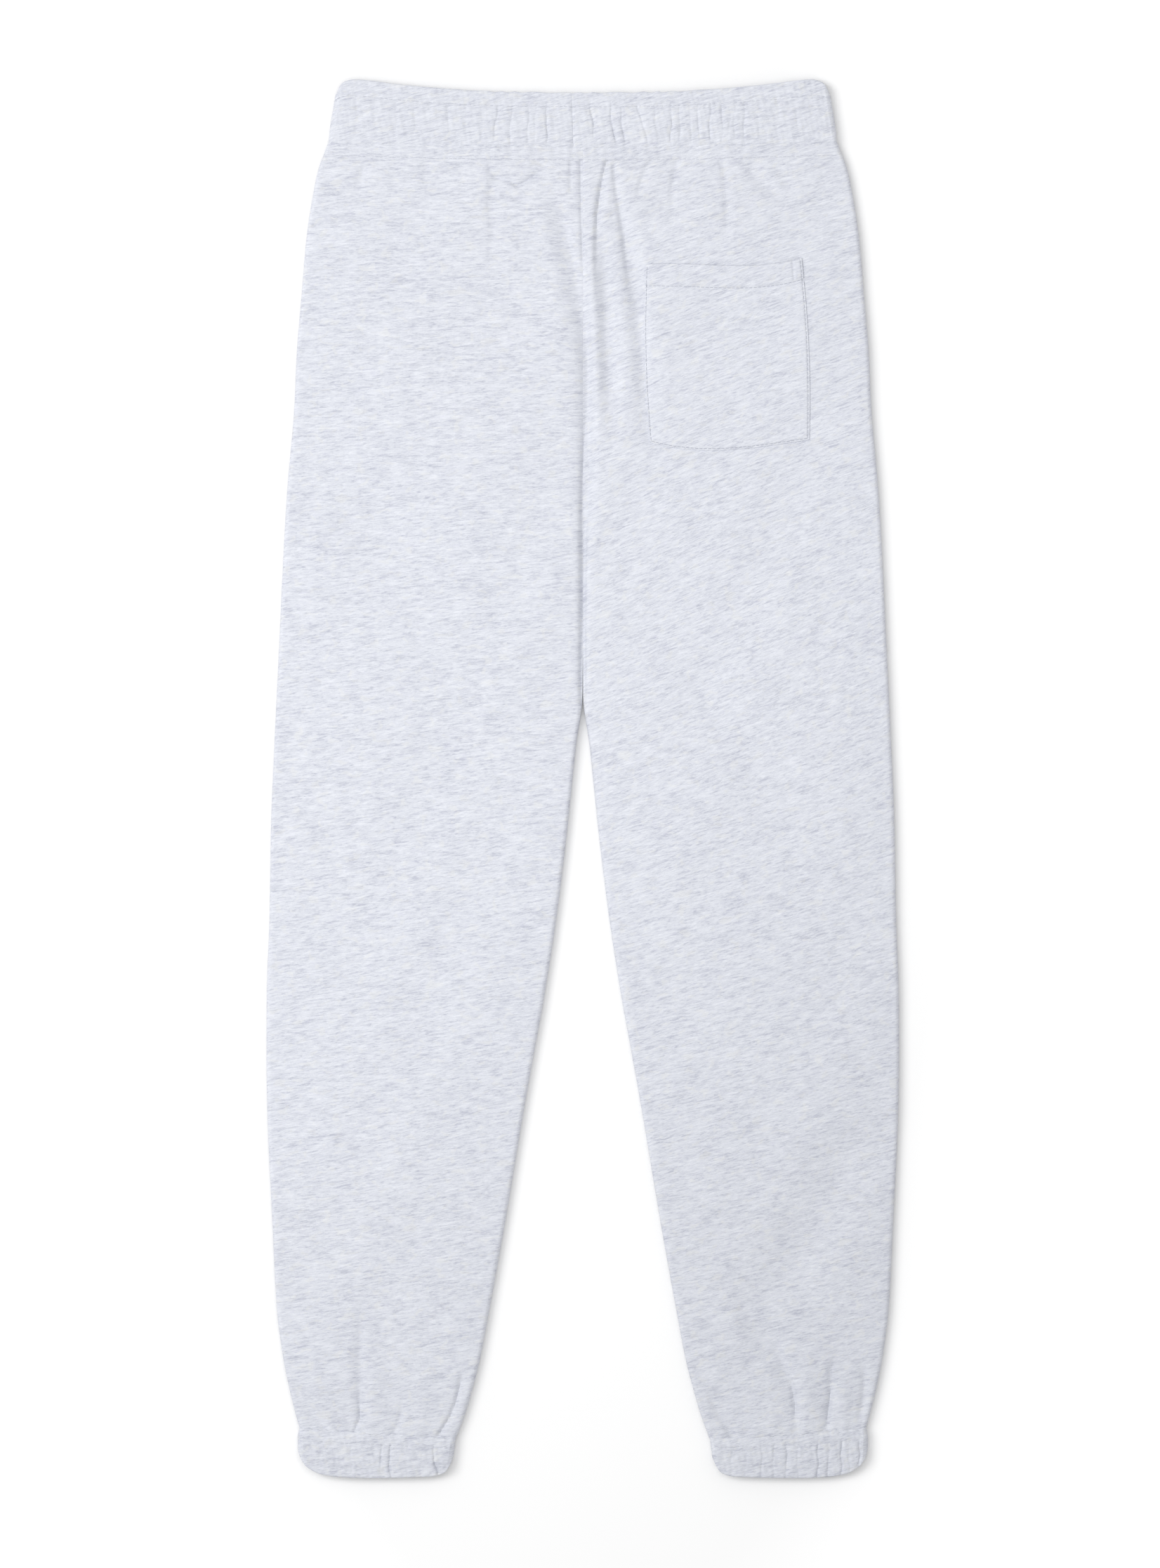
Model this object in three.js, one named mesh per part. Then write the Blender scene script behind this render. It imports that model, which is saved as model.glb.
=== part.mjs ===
// Jogger sweatpants laid flat on their front, back side up, in millimetres.
// X runs across the garment, +Y points from the hems to the waist and +Z is up.
// The origin lies on the surface, under the middle of the garment's box.

import * as THREE from 'three';

// Cloth and sewing
const fleece = 2.4;
const bandCloth = 3;
const pocketCloth = 1.7;
const seamGap = 0.3;

// Lengths down the garment
const reach = 528;
const waistSeamMiddle = 476;
const waistSeamSide = 480;
const cuffSeamInner = -498;
const cuffSeamOuter = -490;
const crotch = 110;
const crotchBlend = 26;

// How a flattened tube of cloth closes at its side edges
const curl = 3.5;
const curlSteps = 3;
const legHalf = 3.6;
const bandHalf = 4.3;
const legCrown = 1.1;
const bandCrown = 0.6;
const bandPuff = 0.8;
const clearInside = 0.4;
const crownPower = 6;
const foldStart = 0.06;

// Where the back's columns crowd towards the centre seam, and how strongly
const crowding = { from: -60, full: 200, evenShare: 0.41, power: 4 };

// Turns rows of numbers into objects with named columns.
function table(columns, rows) {
  return rows.map((row) => Object.fromEntries(columns.map((name, i) => [name, row[i]])));
}

// Half of the leg outline: the inner and outer edge at each height.
const legEdges = table(['y', 'inner', 'outer'], [
  [482, 0, 191.8],
  [473, 0, 195.2],
  [463, 0, 199],
  [450, 0, 202.2],
  [408, 0, 208.8],
  [365, 0, 212.5],
  [323, 0, 216],
  [280, 0, 218],
  [217, 0, 223.4],
  [153, 0, 227],
  [crotch, 0, 229],
  [62, 0.3, 231.3],
  [26, 5, 233],
  [-38, 11.7, 235.6],
  [-101, 19.4, 236.6],
  [-165, 29.2, 238.8],
  [-210, 37.4, 239],
  [-250, 44.5, 238.4],
  [-334, 58.5, 234.6],
  [-398, 70, 231.4],
  [-440, 78, 226],
  [-462, 83.7, 221.5],
  [-482, 89.6, 216.5],
  [-498, 95.6, 211.8],
]);

// Side edge of the waistband, and its top edge along the half width.
const bandSides = table(['y', 'outer'], [
  [478, 192.3],
  [490, 191.2],
  [503, 189.2],
  [516, 187],
  [530, 185.4],
]);
const bandTop = table(['share', 'y'], [
  [0, 518.2],
  [0.33, 519],
  [0.54, 520.8],
  [0.66, 522.6],
  [0.78, 525],
  [0.87, 527.2],
  [0.93, reach],
  [0.965, 526.6],
  [0.985, 523.5],
  [1, 517],
]);

// A cuff's two side edges, and its lower edge from the inner side (-1) to the outer side (1).
const cuffEdges = table(['y', 'inner', 'outer'], [
  [-488, 94.5, 213.6],
  [-498, 96, 215.4],
  [-508, 97.2, 215.2],
  [-518, 98.6, 213.4],
  [-530, 100.4, 210.5],
]);
const cuffBottom = table(['share', 'y'], [
  [-1, -513],
  [-0.97, -519],
  [-0.9, -524.4],
  [-0.75, -526.8],
  [-0.3, -527.7],
  [0.1, -reach],
  [0.45, -527.4],
  [0.75, -525],
  [0.9, -520.5],
  [0.97, -515],
  [1, -507],
]);

// Folds of the back, each from (x0, y0) to (x1, y1). A positive bow moves its middle to +X,
// half is its half width, lift its height (below zero a trough) and tail the share that fades out.
const backFolds = table(['x0', 'y0', 'x1', 'y1', 'bow', 'half', 'lift', 'tail'], [
  [-0.6, 478, 0.3, 66, 0, 2.2, -1.1, 0.1],
  [-4.5, 424, 0.8, 78, 0, 5.2, -2.1, 0.3],
  [5.2, 468, 5.6, 120, 0, 3.6, 1.1, 0.5],
  [20, 471, 15, 280, -6.5, 3, -2.4, 0.4],
  [19.5, 467, 30, 286, 0, 5, 1.6, 0.6],
  [23, 470, 48.6, 243, -1.4, 3, -2.4, 0.4],
  [33, 464, 60, 276, 0, 8, 1.2, 0.7],
  [-25.5, 455, -0.8, 262, 6, 3.4, -2, 0.4],
  [-36, 458, -14, 300, 4, 7, 1.2, 0.6],
  [-71, 465, -66.8, 345, 0, 3.6, -1.5, 0.5],
  [-61, 464, -57, 366, 0, 7, 0.7, 0.6],
  [-9.5, 470, -10.2, 430, 0, 2.2, -0.9, 0.5],
  [47, 470, 40.4, 444, 0, 2.2, -1, 0.5],
  [72, 472, 66, 428, 0, 2.6, -1.2, 0.5],
  [107, 469, 107, 414, 0, 3.2, -1, 0.6],
  [88, 470, 88, 412, 0, 12, 0.9, 0.6],
  [139, 469, 155.5, 426, 0, 3.6, -1.1, 0.6],
  [-167, 463, -170.5, 440, 0, 3, -0.8, 0.5],
  [-119, 469, -117, 432, 0, 3, -0.6, 0.6],
  [-188, 252, -130, 120, 0, 26, -0.8, 0.5],
  [200, -256, 121, -392, 0, 20, -1.6, 0.3],
  [118, -384, 152, -462, 0, 9, -1.3, 0.4],
  [-173.6, -500, -167, -372, 2, 4, -1.5, 0.7],
  [-145.5, -500, -137, -462, 0, 3.2, -1.3, 0.6],
  [-109, -500, -91.5, -446, -3, 3.4, -1.7, 0.6],
  [-195, -492, -223, -442, 0, 4, -1.4, 0.5],
  [-158, -500, -153, -440, 0, 7, 0.9, 0.6],
  [-126, -500, -119, -440, 0, 9, 0.8, 0.6],
  [160.5, -498, 146, -416, 3, 4, -1.9, 0.6],
  [182.6, -498, 187.4, -436, 0, 4, -1.7, 0.6],
  [204.6, -496, 210.4, -458, 0, 3.4, -1.4, 0.6],
  [112, -498, 100, -466, 0, 3, -1.2, 0.6],
  [171.5, -498, 168, -430, 0, 6, 1, 0.6],
  [194, -498, 199, -440, 0, 6, 0.8, 0.6],
  [133, -498, 128, -440, 0, 10, 0.8, 0.6],
]);

// Gathers of the waistband's back: where each crease meets the seam and the row of stitches.
const bandSeamX = -8;
const bandCreases = table(['low', 'high', 'depth'], [
  [-172, -170, 0.5],
  [-157, -156, 0.5],
  [-141, -140.5, 0.8],
  [-127.5, -127.5, 0.9],
  [-114.5, -115, 0.6],
  [-101, -101.5, 0.9],
  [-88, -88, 0.9],
  [-77, -76.5, 0.7],
  [-65, -62, 1.4],
  [-52.5, -50, 1.4],
  [-40, -39.5, 1.1],
  [-26.5, -25.4, 1.8],
  [10, 5, 1.4],
  [25, 20.6, 1.7],
  [49, 38.4, 1.5],
  [58, 56.5, 0.6],
  [66.4, 66.4, 1.2],
  [73, 73, 0.8],
  [79.4, 79, 0.9],
  [86.5, 86, 1],
  [96.5, 96.5, 1],
  [107, 106.5, 0.9],
  [113.8, 113.5, 0.7],
  [120.6, 120.2, 0.8],
  [133, 132.6, 0.6],
  [147.5, 147, 0.7],
  [162, 161, 0.6],
  [175, 174, 0.4],
]);

// Gathers of the cuffs' backs, given by their distance from the middle of the garment.
const cuffCreases = {
  left: table(['low', 'high', 'depth'], [
    [200, 203, 0.5],
    [185, 187, 0.5],
    [170, 171, 0.6],
    [152.6, 152.6, 1],
    [145.4, 145.2, 1.5],
    [132, 133, 0.5],
    [121, 122, 0.6],
    [109.8, 112, 1.7],
  ]),
  right: table(['low', 'high', 'depth'], [
    [113.2, 112, 0.6],
    [124, 123, 0.6],
    [134, 134.4, 1.1],
    [141.5, 141, 0.7],
    [151.4, 151, 1.2],
    [163, 162, 0.9],
    [176.4, 176, 1.5],
    [184.6, 184.4, 1],
    [193.2, 193.4, 1.5],
    [206, 207, 1.4],
  ]),
};
const creaseHalf = 2.1;
const creaseShoulder = 2.5;

// Where a band's creases fade, as shares of its height from the seam
const waistHold = { from: 0, full: 0.16, fading: 0.66, gone: 0.84 };
const cuffHold = { from: 0.14, full: 0.4, fading: 1.1, gone: 1.2 };

// Corners of the pocket, its mouth and its base. Bows are how far an edge leaves the straight line.
const pocket = {
  mouthLeft: [47.5, 388],
  mouthRight: [165, 393],
  baseLeft: [50.6, 254.5],
  baseRight: [170.9, 256],
  mouthSag: 4.6,
  mouthSagAt: 0.68,
  baseDrop: 7.2,
  baseDropAt: 0.4,
  sideBow: 2.4,
  hem: 16,
  hemLift: 0.7,
  across: 11,
  down: 10,
};

// How finely the pieces are cut up
const legRows = table(['from', 'to', 'steps'], [
  [482, 380, 8],
  [380, 250, 5],
  [250, 140, 3],
  [140, 50, 6],
  [50, -380, 7],
  [-380, -498, 6],
]);
const frontRows = table(['from', 'to', 'steps'], [
  [482, 440, 3],
  [440, 140, 3],
  [140, 50, 4],
  [50, -380, 4],
  [-380, -498, 3],
]);
const backColumns = 28;
const frontColumns = 5;
const bandRows = 5;
const cuffRows = 4;
const bandUnderColumns = 14;
const cuffUnderColumns = 7;

const { clamp, lerp, smoothstep } = THREE.MathUtils;

// Reads a column of a table at any place between its rows, on a smooth curve that
// doesn't swing past the rows.
function readTable(rows, key, column, at) {
  const rising = rows[0][key] < rows[rows.length - 1][key];
  const sorted = rising ? rows : [...rows].reverse();
  const place = clamp(at, sorted[0][key], sorted[sorted.length - 1][key]);
  let i = 0;
  while (i < sorted.length - 2 && place > sorted[i + 1][key]) i += 1;
  const slope = (n) => (sorted[n + 1][column] - sorted[n][column]) / (sorted[n + 1][key] - sorted[n][key]);
  const tangent = (n) => {
    if (n === 0) return slope(0);
    if (n === sorted.length - 1) return slope(n - 1);
    const before = slope(n - 1);
    const after = slope(n);
    return before * after <= 0 ? 0 : (2 * before * after) / (before + after);
  };
  const span = sorted[i + 1][key] - sorted[i][key];
  const t = (place - sorted[i][key]) / span;
  const start = sorted[i][column];
  const end = sorted[i + 1][column];
  const bend = (1 - t) * tangent(i) * span - t * tangent(i + 1) * span + (2 * t - 1) * (end - start);
  return lerp(start, end, t) + t * (1 - t) * bend;
}

const waistSeam = (x) => lerp(waistSeamMiddle, waistSeamSide, (x / bandSides[0].outer) ** 2);

function cuffSeam(x) {
  const inner = cuffEdges[1].inner;
  const outer = cuffEdges[0].outer;
  return lerp(cuffSeamInner, cuffSeamOuter, (Math.abs(x) - inner) / (outer - inner));
}

// One where the legs have parted and zero where the two legs are one tube.
const parted = (y) => 1 - smoothstep(y, crotch - crotchBlend, crotch + crotchBlend);

// Height that one crease or ridge adds at a point.
function foldAt(fold, x, y) {
  const runX = fold.x1 - fold.x0;
  const runY = fold.y1 - fold.y0;
  const length = Math.hypot(runX, runY);
  const t = ((x - fold.x0) * runX + (y - fold.y0) * runY) / length ** 2;
  if (t <= 0 || t >= 1) return 0;
  const away = ((x - fold.x0 - t * runX) * length) / Math.abs(runY) - 4 * fold.bow * t * (1 - t);
  const fade = smoothstep(t, 0, foldStart) * (1 - smoothstep(t, 1 - fold.tail, 1));
  return fold.lift * fade * Math.exp(-((away / fold.half) ** 2));
}

const foldsAt = (x, y) => backFolds.reduce((sum, fold) => sum + foldAt(fold, x, y), 0);

// Half the thickness of the flattened leg, measured from its side seams to its back.
function backRise(x, y) {
  const inner = readTable(legEdges, 'y', 'inner', y);
  const outer = readTable(legEdges, 'y', 'outer', y);
  const u = clamp((Math.abs(x) - inner) / (outer - inner), 0, 1);
  const crown = legCrown * (1 - parted(y) * (1 - u) ** crownPower - u ** crownPower);
  const lowest = fleece + clearInside - legHalf - seamGap + fleece;
  return Math.max(legHalf + crown + foldsAt(x, y), lowest);
}

const backTop = (x, y) => legHalf + seamGap + backRise(x, y);

// Closes two matching grids of points into one solid wall. Seen from the first grid's side,
// columns run to the right and rows run up.
function wall(name, colour, columns, rows, outerAt, innerAt) {
  const points = [];
  const faces = [];
  const perSide = (columns + 1) * (rows + 1);
  [outerAt, innerAt].forEach((pointAt) => {
    for (let row = 0; row <= rows; row += 1) {
      for (let column = 0; column <= columns; column += 1) points.push(...pointAt(column, row));
    }
  });
  const index = (side, column, row) => side * perSide + row * (columns + 1) + column;
  const quad = (a, b, c, d) => faces.push(a, b, c, a, c, d);
  for (let row = 0; row < rows; row += 1) {
    for (let column = 0; column < columns; column += 1) {
      const corners = [[column, row], [column + 1, row], [column + 1, row + 1], [column, row + 1]];
      const outer = corners.map(([c, r]) => index(0, c, r));
      const inner = corners.map(([c, r]) => index(1, c, r));
      quad(...outer);
      quad(...inner.reverse());
    }
  }
  const strip = (count, placeAt) => {
    for (let step = 0; step < count; step += 1) {
      const a = placeAt(step);
      const b = placeAt(step + 1);
      quad(index(0, ...b), index(0, ...a), index(1, ...a), index(1, ...b));
    }
  };
  strip(columns, (step) => [step, 0]);
  strip(columns, (step) => [columns - step, rows]);
  strip(rows, (step) => [columns, step]);
  strip(rows, (step) => [0, rows - step]);
  const geometry = new THREE.BufferGeometry();
  geometry.setAttribute('position', new THREE.Float32BufferAttribute(points, 3));
  geometry.setIndex(faces);
  geometry.computeVertexNormals();
  const material = new THREE.MeshStandardMaterial({ color: colour, roughness: 0.95, metalness: 0 });
  const mesh = new THREE.Mesh(geometry, material);
  mesh.name = name;
  return mesh;
}

// The heights at which a panel has a row of points, from its hem up.
function rowHeights(spans) {
  const heights = [spans[0].from];
  spans.forEach((span) => {
    for (let step = 1; step <= span.steps; step += 1) {
      heights.push(lerp(span.from, span.to, step / span.steps));
    }
  });
  return heights.reverse();
}

// Places across a leg panel: a curl at the inner edge, a run of cloth, a curl at the outer edge.
function panelStations(columns) {
  const stations = [];
  for (let step = curlSteps; step >= 1; step -= 1) {
    stations.push({ edge: 'inner', turn: (Math.PI / 2) * (step / curlSteps), run: 0 });
  }
  for (let step = 0; step <= columns; step += 1) {
    stations.push({ edge: 'none', turn: 0, run: step / columns });
  }
  for (let step = 1; step <= curlSteps; step += 1) {
    stations.push({ edge: 'outer', turn: (Math.PI / 2) * (step / curlSteps), run: 1 });
  }
  return stations;
}

// A point of a leg panel in plan, and how far its edge has turned over. The back's columns
// crowd towards the centre seam above the crotch, where the narrow creases are.
function panelPlan(station, height, crowded) {
  const bottom = legEdges[legEdges.length - 1].y;
  const top = legEdges[0].y;
  const share = (height - bottom) / (top - bottom);
  const dense = lerp(station.run ** crowding.power, station.run, crowding.evenShare);
  const run = lerp(station.run, dense, crowded ? smoothstep(height, crowding.from, crowding.full) : 0);
  let y = height;
  let x = 0;
  for (let pass = 0; pass < 3; pass += 1) {
    const inner = Math.max(readTable(legEdges, 'y', 'inner', y), seamGap / 2);
    const outer = readTable(legEdges, 'y', 'outer', y);
    const inset = curl * (1 - Math.sin(station.turn));
    if (station.edge === 'inner') x = inner + inset;
    else if (station.edge === 'outer') x = outer - inset;
    else x = lerp(inner + curl, outer - curl, run);
    y = lerp(cuffSeam(x) + seamGap / 2, waistSeam(x) - seamGap / 2, share);
  }
  const turned = station.edge === 'inner' ? parted(y) : 1;
  return { x, y, turned };
}

// A leg panel. The back is the upper wall, with the folds, and the front lies flat below it.
function legPanel(name, side, isBack) {
  const colour = isBack ? '#dfe2ea' : '#dadde5';
  const stations = panelStations(isBack ? backColumns : frontColumns);
  const heights = rowHeights(isBack ? legRows : frontRows);
  const columns = stations.length - 1;
  const pointAt = (thickness) => (column, row) => {
    const station = stations[side > 0 ? column : columns - column];
    const plan = panelPlan(station, heights[row], isBack);
    const rise = (isBack ? backRise(side * plan.x, plan.y) : legHalf) - thickness;
    const level = rise * (1 - plan.turned * (1 - Math.cos(station.turn)));
    const inward = thickness * plan.turned * Math.sin(station.turn);
    const x = plan.x + (station.edge === 'outer' ? -inward : inward);
    const z = isBack ? legHalf + seamGap + level : legHalf - level;
    return [side * x, plan.y, z];
  };
  const outer = pointAt(0);
  const inner = pointAt(fleece);
  const rows = heights.length - 1;
  return isBack
    ? wall(name, colour, columns, rows, outer, inner)
    : wall(name, colour, columns, rows, inner, outer);
}

// Places round a gathered band, a strip whose ends meet at a seam: along the back to the
// right, down the right edge, along the front to the left and up the left edge.
function ringStations(creases, underColumns) {
  const parts = [-1, 0, 1];
  const back = creases.flatMap((crease) => parts.map((part) => ({ wall: 'back', turn: 0, crease, part })));
  const edge = (name, from, to) => Array.from({ length: 2 * curlSteps + 1 }, (_, step) => (
    { wall: name, turn: lerp(from, to, step / (2 * curlSteps)) }));
  const front = Array.from({ length: underColumns - 1 }, (_, step) => (
    { wall: 'front', turn: Math.PI, run: 1 - (step + 1) / underColumns }));
  return [...back, ...edge('right', 0, Math.PI), ...front, ...edge('left', Math.PI, 0)];
}

// Cuts the ring open at a seam, so that it starts and ends there, half a gap to each side.
function cutRing(stations, isPast, isSeam, before, after) {
  const cut = stations.findIndex(isPast);
  const turned = [...stations.slice(cut), ...stations.slice(0, cut)].filter((station) => !isSeam(station));
  return [after, ...turned, before];
}

// How deep the creases are at a point of the band's back.
function creaseDepth(band, x, share) {
  const { hold } = band;
  const held = smoothstep(share, hold.from, hold.full) * (1 - smoothstep(share, hold.fading, hold.gone));
  return band.creases.reduce((sum, crease) => {
    const middle = lerp(crease.low, crease.high, share);
    return sum + crease.depth * held * Math.exp(-(((x - middle) / creaseHalf) ** 2));
  }, 0);
}

// A point of a band in plan, where share counts from its seam to its free edge.
function bandPlan(band, station, share) {
  let y = band.seam(0);
  let x = 0;
  for (let pass = 0; pass < 4; pass += 1) {
    const { left, right } = band.sides(y);
    const inset = curl * (1 - Math.sin(station.turn));
    if (station.wall === 'right') x = right - inset;
    else if (station.wall === 'left') x = left + inset;
    else if (station.wall === 'front') x = lerp(left + curl, right - curl, station.run);
    else if (station.crease) {
      const middle = lerp(station.crease.low, station.crease.high, share);
      x = middle + station.part * creaseShoulder;
    } else x = station.x;
    y = lerp(band.seam(x), band.freeEdge(x, y), share);
  }
  return { x, y };
}

// A gathered band. Its creases are raised in the outer points over a plain inside.
function gatheredBand(name, band, stations, rows) {
  const pointAt = (thickness) => (column, row) => {
    const station = stations[column];
    const share = band.seamBelow ? row / rows : 1 - row / rows;
    const { x, y } = bandPlan(band, station, share);
    const { left, right } = band.sides(y);
    const across = clamp((2 * x - left - right) / (right - left), -1, 1);
    const isBack = station.wall === 'back';
    const rounding = isBack ? 1 - across ** crownPower : 0;
    const puff = thickness === 0 ? bandPuff * rounding : 0;
    const crease = isBack && thickness === 0 ? creaseDepth(band, x, share) : 0;
    const rise = bandHalf + bandCrown * rounding + puff - crease - thickness;
    const z = bandHalf + Math.cos(station.turn) * rise + (station.slit ?? 0);
    const inward = thickness * Math.sin(station.turn);
    return [station.wall === 'right' ? x - inward : x + inward, y, z];
  };
  return wall(name, '#dde0e8', stations.length - 1, rows, pointAt(0), pointAt(bandCloth));
}

function waistband() {
  const halfWidth = (y) => readTable(bandSides, 'y', 'outer', y);
  const band = {
    creases: bandCreases,
    hold: waistHold,
    seamBelow: true,
    sides: (y) => ({ left: -halfWidth(y), right: halfWidth(y) }),
    seam: (x) => waistSeam(x) + seamGap / 2,
    freeEdge: (x, y) => readTable(bandTop, 'share', 'y', Math.abs(x) / halfWidth(y)),
  };
  const stations = cutRing(
    ringStations(bandCreases, bandUnderColumns),
    (station) => station.wall === 'back' && station.crease.low > bandSeamX,
    () => false,
    { wall: 'back', turn: 0, x: bandSeamX - seamGap / 2 },
    { wall: 'back', turn: 0, x: bandSeamX + seamGap / 2 },
  );
  return gatheredBand('waistband', band, stations, bandRows);
}

function cuff(side) {
  const name = side < 0 ? 'left' : 'right';
  const creases = cuffCreases[name]
    .map((crease) => ({ low: side * crease.low, high: side * crease.high, depth: crease.depth }))
    .sort((a, b) => a.low - b.low);
  const innerAt = (y) => readTable(cuffEdges, 'y', 'inner', y);
  const outerAt = (y) => readTable(cuffEdges, 'y', 'outer', y);
  const band = {
    creases,
    hold: cuffHold,
    seamBelow: false,
    sides: (y) => (side < 0
      ? { left: -outerAt(y), right: -innerAt(y) }
      : { left: innerAt(y), right: outerAt(y) }),
    seam: (x) => cuffSeam(x) - seamGap / 2,
    freeEdge: (x, y) => {
      const share = (2 * Math.abs(x) - innerAt(y) - outerAt(y)) / (outerAt(y) - innerAt(y));
      return readTable(cuffBottom, 'share', 'y', share);
    },
  };
  const inseam = side < 0 ? 'right' : 'left';
  const halfTurn = Math.PI / 2;
  const pastSeam = (station) => side * (halfTurn - station.turn);
  const nearly = 0.01;
  const stations = cutRing(
    ringStations(creases, cuffUnderColumns),
    (station) => station.wall === inseam && pastSeam(station) > nearly,
    (station) => station.wall === inseam && Math.abs(pastSeam(station)) < nearly,
    { wall: inseam, turn: halfTurn, slit: side < 0 ? seamGap / 2 : -seamGap / 2 },
    { wall: inseam, turn: halfTurn, slit: side < 0 ? -seamGap / 2 : seamGap / 2 },
  );
  return gatheredBand(`cuff_${name}`, band, stations, cuffRows);
}

// A hump across an edge, one at its highest place and zero at both ends.
const hump = (share, highest) => Math.sin(Math.PI * share ** (Math.log(0.5) / Math.log(highest)));

// A point of the pocket in plan, counted from its left side and from its base.
function pocketPlan(across, up) {
  const bow = pocket.sideBow * Math.sin(Math.PI * up);
  const left = lerp(pocket.baseLeft[0], pocket.mouthLeft[0], up) - bow;
  const right = lerp(pocket.baseRight[0], pocket.mouthRight[0], up) + bow;
  const base = lerp(pocket.baseLeft[1], pocket.baseRight[1], across);
  const mouth = lerp(pocket.mouthLeft[1], pocket.mouthRight[1], across);
  const low = base - pocket.baseDrop * hump(across, pocket.baseDropAt);
  const high = mouth - pocket.mouthSag * hump(across, pocket.mouthSagAt);
  return { x: lerp(left, right, across), y: lerp(low, high, up) };
}

// The pocket lies on the panel and follows it. Its mouth has a thicker turned hem.
function backPocket() {
  const tall = pocket.mouthLeft[1] - pocket.baseLeft[1];
  const hemLine = 1 - pocket.hem / tall;
  const step = pocket.hemLift / tall;
  const last = pocket.down - 1;
  const heights = Array.from({ length: pocket.down }, (_, row) => (row / last) * (hemLine - step));
  heights.push(hemLine, 1);
  const pointAt = (onTop) => (column, row) => {
    const { x, y } = pocketPlan(column / pocket.across, heights[row]);
    const hem = heights[row] >= hemLine ? pocket.hemLift : 0;
    return [x, y, backTop(x, y) + seamGap + (onTop ? pocketCloth + hem : 0)];
  };
  return wall('back_pocket', '#dfe2ea', pocket.across, heights.length - 1, pointAt(true), pointAt(false));
}

const garment = new THREE.Group();
[-1, 1].forEach((side) => {
  const name = side < 0 ? 'left' : 'right';
  garment.add(legPanel(`back_${name}`, side, true));
  garment.add(legPanel(`front_${name}`, side, false));
  garment.add(cuff(side));
});
garment.add(waistband());
garment.add(backPocket());

export default garment;
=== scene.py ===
# Jogger sweatpants laid flat on a pale floor, back side up.
# Tables are in millimetres, as the garment is measured. Meshes are written in metres.
import math
import bpy
import numpy as np
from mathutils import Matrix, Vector


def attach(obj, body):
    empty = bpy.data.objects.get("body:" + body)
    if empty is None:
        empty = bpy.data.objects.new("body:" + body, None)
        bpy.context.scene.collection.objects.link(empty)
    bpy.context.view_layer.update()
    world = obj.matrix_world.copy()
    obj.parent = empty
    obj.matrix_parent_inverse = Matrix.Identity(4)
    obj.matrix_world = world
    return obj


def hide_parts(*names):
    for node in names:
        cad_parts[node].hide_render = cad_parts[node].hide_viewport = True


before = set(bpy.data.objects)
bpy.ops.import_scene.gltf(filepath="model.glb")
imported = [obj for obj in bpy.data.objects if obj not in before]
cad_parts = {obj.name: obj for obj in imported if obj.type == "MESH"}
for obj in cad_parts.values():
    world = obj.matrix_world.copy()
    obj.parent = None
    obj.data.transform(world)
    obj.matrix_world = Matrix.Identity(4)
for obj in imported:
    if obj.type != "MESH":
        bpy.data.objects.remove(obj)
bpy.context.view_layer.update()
mm = 0.001
print("frame loaded")

# The cut of the legs: a shell whose side edges curl round over half the flattened thickness, and
# whose back is crowned. The front dips by as much as underLift at most.
legCut = {
    "shell": 1.2,
    "seamGap": 0.3,
    "curl": 3.5,
    "half": 3.6,
    "underLift": 1.1,
    "crown": 1.1,
    "crownPower": 6,
    "clearInside": 0.4,
    "crotch": 110,
    "crotchBlend": 26,
    "waistSeam": (476, 480),
    "cuffSeam": (-498, -490),
    # one leg's outline: height, inner edge, outer edge
    "edges": [
        (482, 0, 191.8), (473, 0, 195.2), (463, 0, 199), (450, 0, 202.2), (408, 0, 208.8),
        (365, 0, 212.5), (323, 0, 216), (280, 0, 218), (217, 0, 223.4), (153, 0, 227),
        (110, 0, 229), (62, 0.3, 231.3), (26, 5, 233), (-38, 11.7, 235.6), (-101, 19.4, 236.6),
        (-165, 29.2, 238.8), (-210, 37.4, 239), (-250, 44.5, 238.4), (-334, 58.5, 234.6),
        (-398, 70, 231.4), (-440, 78, 226), (-462, 83.7, 221.5), (-482, 89.6, 216.5),
        (-498, 95.6, 211.8),
    ],
    # how many rows lie between two heights, and how many columns each part has
    "backRows": [(482, 464, 20), (464, 440, 34), (440, 380, 34), (380, 240, 56), (240, 40, 62),
                 (40, -380, 106), (-380, -484, 64), (-484, -498, 16)],
    "frontRows": [(482, 440, 14), (440, 140, 24), (140, 40, 24), (40, -380, 44), (-380, -498, 26)],
    "backColumns": 102,
    "frontColumns": 24,
    "curlColumns": 7,
    "crowdFrom": -100,
    "crowdFull": 110,
    "evenShare": 0.6,
    "crowdPower": 2.6,
}

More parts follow.
